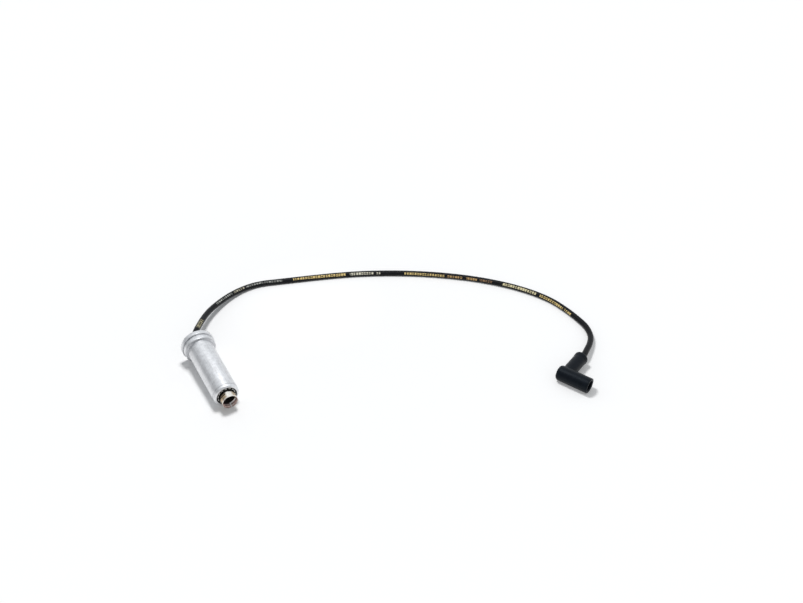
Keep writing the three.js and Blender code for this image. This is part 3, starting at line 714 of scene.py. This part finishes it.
def innerFinish(name):
    stock = innerStock[name]
    material, tree, shader = newMaterial(name, stock["metallic"], stock["roughness"])
    local = pieceCoordinates(tree, plugSpot, plugTurn)
    patches = patchesOn(tree, local, innerGrain["patchScale"])
    dark = shaded(stock["colour"], stock["shade"])
    tree.links.new(mixColour(tree, patches, dark, stock["colour"]), shader.inputs["Base Color"])
    grain = noise(tree, local, innerGrain["scale"], 5, 0.65)
    smoothest, roughest = stock["roughness"] - innerGrain["gloss"], stock["roughness"] + innerGrain["gloss"]
    tree.links.new(rescale(tree, grain, 0.3, 0.7, smoothest, roughest), shader.inputs["Roughness"])
    bump(tree, shader, grain, innerGrain["depth"], 0.6)
    return material


ferrule = {"radius": 4.9, "back": 11.4, "base": 3, "pin": 2.1, "pinLength": 3.2}
ferruleBack = cable["depth"] + gap
ferruleFront = ferruleBack + ferrule["base"]


def makeFerrule(brass):
    made = turnOutline("cableFerrule", [
        (0, ferruleBack),
        (cable["radius"] + gap, ferruleBack),
        (cable["radius"] + gap, ferrule["back"], 0.2),
        (ferrule["radius"], ferrule["back"], 0.3),
        (ferrule["radius"], ferruleFront, 0.4),
        (ferrule["pin"], ferruleFront, 0.15),
        (ferrule["pin"], ferruleFront + ferrule["pinLength"], 0.5),
        (0, ferruleFront + ferrule["pinLength"]),
    ], steps=72)
    settle(made, plugMatrix, brass, "cable_ferrule")


spring = {"wire": 0.5, "radius": 3.2, "length": 8, "turns": 5, "stepsPerTurn": 48}
springBack = ferruleFront + gap


def makeSpring(steel):
    section = wireSection(spring["radius"], spring["wire"], springBack + spring["wire"])
    rise = spring["length"] - 2 * spring["wire"]
    steps = spring["stepsPerTurn"] * spring["turns"]
    made = windSection("contactSpring", section, 2 * math.pi * spring["turns"], rise, steps)
    settle(made, plugMatrix, steel, "contact_spring", 60)


resistor = {"radius": 3.6, "length": 20, "capWall": 0.7, "capDepth": 4}
resistorBack = springBack + spring["length"] + gap
coreBack = resistorBack + resistor["capWall"] + gap
coreFront = coreBack + resistor["length"]
resistorFront = coreFront + gap + resistor["capWall"]


def makeResistor(brass, ceramic):
    core = turnOutline("resistorCore", [
        (0, coreBack),
        (resistor["radius"], coreBack, 0.35),
        (resistor["radius"], coreFront, 0.35),
        (0, coreFront),
    ], steps=72)
    settle(core, plugMatrix, ceramic, "resistor_core")
    bore = resistor["radius"] + gap
    skirt = resistor["capWall"] + resistor["capDepth"]
    for name, node, back, way in (("resistorCapRear", "resistor_cap_rear", resistorBack, 1),
                                  ("resistorCapFront", "resistor_cap_front", resistorFront, -1)):
        made = turnOutline(name, [
            (0, back),
            (bore + resistor["capWall"], back, 0.4),
            (bore + resistor["capWall"], back + way * skirt, 0.15),
            (bore, back + way * skirt, 0.15),
            (bore, back + way * resistor["capWall"]),
            (0, back + way * resistor["capWall"]),
        ], steps=72)
        settle(made, plugMatrix, brass, node)


insulator = {"partition": 3, "bore": 6, "noseLength": 10, "noseRadius": 7.4}
socket = {
    "bore": 3.4, "wall": 0.9, "base": 1.5, "flange": 5.6, "depth": 12.5,
    "slotWidth": 1.2, "slotLength": 9, "slots": 4, "stud": 2.6, "ringWire": 0.5, "ringBack": 4.5,
}
partitionBack = resistorFront + gap
partitionFront = partitionBack + insulator["partition"]
bodyFront = sleeve["back"] - gap
noseFront = bodyFront + insulator["noseLength"]


def makeInsulator():
    flangeBack = capFront + gap
    flangeRadius = shell["cupRadius"] - gap
    bodyRadius = boreRadius - gap
    sealPocket = flangeBack + seal["flangeWidth"] + 2 * gap
    stemPocket = seal["depth"] + gap
    rearBore = max(ferrule["radius"], resistor["radius"] + gap + resistor["capWall"]) + gap
    made = turnOutline("insulatorBody", [
        (seal["flange"] + gap, flangeBack, 0.2),
        (flangeRadius, flangeBack, 0.5),
        (flangeRadius, shell["cupDepth"] - gap, 0.2),
        (bodyRadius, shell["cupDepth"] - gap),
        (bodyRadius, bodyFront, 0.6),
        (insulator["noseRadius"], bodyFront, 0.3),
        (insulator["noseRadius"], noseFront, 0.5),
        (insulator["bore"], noseFront, 0.3),
        (insulator["bore"], partitionFront),
        (socket["stud"] + gap, partitionFront),
        (socket["stud"] + gap, partitionBack),
        (rearBore, partitionBack),
        (rearBore, stemPocket),
        (seal["stem"] + gap, stemPocket),
        (seal["stem"] + gap, sealPocket),
        (seal["flange"] + gap, sealPocket),
    ], steps=96)
    settle(made, plugMatrix, innerFinish("mouldedInsulator"), "insulator_body")


def makePlugTerminal(brass, steel):
    studBack = resistorFront + gap
    flangeBack = partitionFront + gap
    base = flangeBack + socket["base"]
    front = base + socket["depth"]
    outer = socket["bore"] + socket["wall"]
    made = turnOutline("plugTerminal", [
        (0, studBack),
        (socket["stud"], studBack, 0.3),
        (socket["stud"], flangeBack),
        (socket["flange"], flangeBack, 0.2),
        (socket["flange"], base, 0.3),
        (outer, base, 0.2),
        (outer, front, 0.3),
        (socket["bore"], front, 0.4),
        (socket["bore"], base),
        (0, base),
    ], steps=96)
    combine(made, slotBlocks(socket["slots"], socket["slotWidth"], socket["bore"] - over, outer + over,
                             front - socket["slotLength"], front + over))
    settle(made, plugMatrix, brass, "plug_terminal")
    ring = wireRing("terminalRing", outer + gap + socket["ringWire"], socket["ringWire"],
                    front - socket["ringBack"])
    settle(ring, plugMatrix, steel, "terminal_ring", 60)


plugSeal = {"bore": 4.9, "depth": 7, "flange": 1.5, "entry": 0.8, "tailEntry": 0.4, "tailLength": 1}


def makePlugSeal():
    back = noseFront - plugSeal["depth"]
    flangeBack = noseFront + gap
    made = turnOutline("plugSeal", [
        (plugSeal["bore"] + plugSeal["tailEntry"], back, 0.2),
        (insulator["bore"] - gap, back, 0.3),
        (insulator["bore"] - gap, flangeBack),
        (insulator["noseRadius"], flangeBack, 0.2),
        (insulator["noseRadius"], flangeBack + plugSeal["flange"], 0.4),
        (plugSeal["bore"] + plugSeal["entry"], flangeBack + plugSeal["flange"], 0.4),
        (plugSeal["bore"], flangeBack, 0.4),
        (plugSeal["bore"], back + plugSeal["tailLength"], 0.4),
    ], steps=96)
    settle(made, plugMatrix, innerFinish("sealSilicone"), "plug_seal")


# the coil connector: heights are counted from the barrel's closed end towards its mouth, in millimetres
coilPlace = {"x": 157.7, "y": -103.52, "turn": 22.4}
boot = {
    "radius": 9, "length": 39.5, "round": 3.6, "mouthRound": 0.6, "bore": 6, "mouthFlare": 1, "throat": 2,
    "legOffset": 9.7, "legRadius": 7.7, "legReach": 39.3, "legBead": 0.5, "legRound": 2.8, "legFlare": 0.8,
    "beadLength": 8, "beadRound": 1, "gland": 14.3, "voxel": 0.36, "smoothing": 5,
    "colour": (0.0045, 0.0065, 0.0105), "roughness": 0.36,
}
coilSocket = {
    "crimp": 4.6, "wall": 0.8, "bore": 3.4, "length": 16, "slotLength": 8, "slotWidth": 1, "slots": 4,
    "ringWire": 0.5, "ringInset": 3.5, "cableDepth": 33,
}
crimpEnd = boot["legReach"] - boot["gland"] - gap
coilSpot = Vector((coilPlace["x"], coilPlace["y"], boot["radius"])) * mm
coilTurn = (math.pi / 2, 0, math.radians(coilPlace["turn"]))
coilMatrix = placement(coilSpot, coilTurn)
legMatrix = Matrix.Translation((0, 0, boot["legOffset"])) @ Matrix.Rotation(math.pi / 2, 4, "Y")


# barrel and leg are turned, joined, hollowed, then remeshed so that they flow together as one moulding
def makeCoilBoot():
    made = turnOutline("coilBoot", [
        (0, 0),
        (boot["radius"], 0, boot["round"]),
        (boot["radius"], boot["length"], boot["mouthRound"]),
        (0, boot["length"]),
    ], cornerSegments=8)
    tip = boot["legRadius"] + boot["legBead"]
    leg = turnOutline("leg", [
        (0, 0),
        (boot["legRadius"], 0),
        (boot["legRadius"], boot["legReach"] - boot["beadLength"], boot["beadRound"]),
        (tip, boot["legReach"] - boot["beadLength"] / 2, boot["beadRound"]),
        (tip, boot["legReach"], boot["legRound"]),
        (0, boot["legReach"]),
    ], cornerSegments=8)
    leg.data.transform(legMatrix)
    combine(made, leg, "UNION")
    legBore = coilSocket["crimp"] + gap
    pocketFront = boot["legOffset"] + legBore
    mouth = boot["bore"] + boot["mouthFlare"]
    hollow = turnOutline("barrelHollow", [
        (0, boot["legOffset"] - legBore),
        (legBore, boot["legOffset"] - legBore),
        (legBore, pocketFront),
        (boot["bore"], pocketFront + boot["throat"]),
        (boot["bore"], boot["length"] - boot["mouthFlare"]),
        (mouth, boot["length"]),
        (mouth, boot["length"] + over),
        (0, boot["length"] + over),
    ], steps=96)
    combine(made, hollow)
    cableBore = cable["radius"] + gap
    cableMouth = cableBore + boot["legFlare"]
    legHollow = turnOutline("legHollow", [
        (0, 0),
        (legBore, 0),
        (legBore, crimpEnd + gap),
        (cableBore, crimpEnd + gap),
        (cableBore, boot["legReach"] - boot["legFlare"]),
        (cableMouth, boot["legReach"]),
        (cableMouth, boot["legReach"] + over),
        (0, boot["legReach"] + over),
    ], steps=96)
    legHollow.data.transform(legMatrix)
    combine(made, legHollow)
    step = made.modifiers.new("moulding", "REMESH")
    step.mode, step.voxel_size, step.adaptivity = "VOXEL", boot["voxel"], 0
    applyModifiers(made)
    bm = bmesh.new()
    bm.from_mesh(made.data)
    for turn in range(boot["smoothing"]):
        bmesh.ops.smooth_vert(bm, verts=bm.verts[:], factor=0.5,
                              use_axis_x=True, use_axis_y=True, use_axis_z=True)
    bm.to_mesh(made.data)
    bm.free()
    finish = rubberFinish("bootRubber", boot, coilSpot, coilTurn)
    settle(made, coilMatrix, finish, "coil_boot", 0)


# crimp barrel and socket, folded from one strip of brass
def makeCoilTerminal(brass, steel):
    crimpBase = boot["legReach"] - coilSocket["cableDepth"] - gap
    crimpBore = cable["radius"] + gap
    front = boot["legOffset"] + coilSocket["length"]
    outer = coilSocket["bore"] + coilSocket["wall"]
    made = turnOutline("coilTerminal", [
        (0, 0),
        (coilSocket["crimp"], 0, 0.5),
        (coilSocket["crimp"], crimpEnd, 0.2),
        (crimpBore, crimpEnd, 0.2),
        (crimpBore, crimpBase),
        (0, crimpBase),
    ], steps=96)
    made.data.transform(legMatrix)
    stem = turnOutline("socketStem", [
        (0, boot["legOffset"] - coilSocket["crimp"]),
        (outer, boot["legOffset"] - coilSocket["crimp"], 0.5),
        (outer, front, 0.3),
        (coilSocket["bore"], front, 0.3),
        (coilSocket["bore"], boot["legOffset"] + coilSocket["crimp"]),
        (0, boot["legOffset"] + coilSocket["crimp"]),
    ], steps=96)
    combine(made, stem, "UNION")
    roomForCable = turnOutline("roomForCable", [
        (0, crimpBase),
        (crimpBore, crimpBase),
        (crimpBore, crimpEnd + over),
        (0, crimpEnd + over),
    ], steps=96)
    roomForCable.data.transform(legMatrix)
    combine(made, roomForCable)
    inner, clear = coilSocket["bore"] - over, outer + over
    combine(made, slotBlocks(coilSocket["slots"], coilSocket["slotWidth"], inner, clear,
                             front - coilSocket["slotLength"], front + over, math.pi / 4))
    settle(made, coilMatrix, brass, "coil_terminal")
    ring = wireRing("coilTerminalRing", outer + gap + coilSocket["ringWire"], coilSocket["ringWire"],
                    front - coilSocket["ringInset"])
    settle(ring, coilMatrix, steel, "coil_terminal_ring", 60)


studio = {
    "keyAt": (-0.03, 0.17, 0.75), "keySize": 0.2, "keyPower": 4.1, "glint": 0.45,
    "worldTone": (0.94, 0.97, 1.0), "worldStrength": 0.4,
    "brightSide": (0.61, 0.355, 0.71), "shineFrom": -0.1, "shineTo": 0.6, "shineLow": 0.44, "shineHigh": 0.94,
    "floorTone": 0.92, "floorRoughness": 0.9, "floorWhite": 1.02, "floorSize": 4.0,
}


# the world lights evenly; in reflections one side of the studio is brighter, and the camera sees white
def makeWorld():
    world = bpy.data.worlds.new("studioWorld")
    scene.world = world
    world.use_nodes = True
    tree = world.node_tree
    rays = addNode(tree, "LightPath").outputs
    direction = addNode(tree, "TexCoord").outputs["Generated"]
    facing = addNode(tree, "VectorMath", {0: direction, 1: studio["brightSide"]}, operation="DOT_PRODUCT")
    shine = rescale(tree, facing.outputs["Value"], studio["shineFrom"], studio["shineTo"],
                    studio["shineLow"], studio["shineHigh"])
    change = calc(tree, "SUBTRACT", shine, studio["worldStrength"])
    strength = calc(tree, "MULTIPLY_ADD", rays["Is Glossy Ray"], change, studio["worldStrength"])
    seen = calc(tree, "MAXIMUM", rays["Is Camera Ray"], rays["Is Transmission Ray"])
    background = tree.nodes["Background"]
    background.inputs["Color"].default_value = (*studio["worldTone"], 1)
    tree.links.new(calc(tree, "MAXIMUM", strength, seen), background.inputs["Strength"])


# the floor glows to the camera where the lamp's light falls short of white, so only shadows are grey
def makeFloor():
    bm = bmesh.new()
    bmesh.ops.create_grid(bm, x_segments=1, y_segments=1, size=studio["floorSize"] / 2)
    floor = addMesh("floor", bm)
    material, tree, shader = newMaterial("paleFloor", 0.0, studio["floorRoughness"])
    tone = studio["floorTone"]
    shader.inputs["Base Color"].default_value = (tone, tone, tone, 1)
    shader.inputs["Specular IOR Level"].default_value = 0.0
    keyX, keyY, keyHeight = studio["keyAt"]
    underKey = tone * studio["keyPower"] / (math.pi * keyHeight) ** 2    # the floor's level under the lamp
    coordinates = addNode(tree, "TexCoord").outputs["Object"]
    toKey = addNode(tree, "VectorMath", {0: coordinates, 1: (keyX, keyY, 0)}, operation="DISTANCE")
    away = toKey.outputs["Value"]
    square = calc(tree, "MULTIPLY_ADD", calc(tree, "MULTIPLY", away, away), keyHeight ** -2, 1.0)
    lit = calc(tree, "DIVIDE", underKey, calc(tree, "MULTIPLY", square, square))
    unlit = studio["floorWhite"] - tone * studio["worldStrength"]
    missing = calc(tree, "MAXIMUM", calc(tree, "SUBTRACT", unlit, lit), 0.0)
    rays = addNode(tree, "LightPath").outputs
    seen = calc(tree, "MAXIMUM", rays["Is Camera Ray"], rays["Is Glossy Ray"])
    seen = calc(tree, "MAXIMUM", seen, rays["Is Transmission Ray"])
    shader.inputs["Emission Color"].default_value = (1, 1, 1, 1)
    tree.links.new(calc(tree, "MULTIPLY", seen, missing), shader.inputs["Emission Strength"])
    floor.data.materials.append(material)


# one soft lamp in two shares; only the smaller share shows in reflections, so bare metal isn't washed out
def makeLamps():
    for name, share, shines in (("keyLight", 1 - studio["glint"], False),
                                ("glintLight", studio["glint"], True)):
        data = bpy.data.lights.new(name, "AREA")
        data.shape, data.size, data.energy = "DISK", studio["keySize"], studio["keyPower"] * share
        lamp = bpy.data.objects.new(name, data)
        lamp.location = studio["keyAt"]
        lamp.visible_glossy = shines
        scene.collection.objects.link(lamp)


makeCamera()
makeCable()
print("camera and cable made")

brass = innerFinish("contactBrass")
steel = innerFinish("springSteel")
ceramic = innerFinish("resistorCeramic")
makeShell()
makeRearCap()
makeCableSeal()
makeFerrule(brass)
makeSpring(steel)
makeResistor(brass, ceramic)
makeInsulator()
makePlugTerminal(brass, steel)
print("plug connector's shell and inner pieces made")
makeSleeve()
makeRetainer()
makePlugSeal()
print("sleeve, retainer and plug seal made")
makeCoilBoot()
makeCoilTerminal(brass, steel)
print("coil connector made")
makeWorld()
makeFloor()
makeLamps()
scene.view_settings.view_transform = "Standard"
print("studio made")
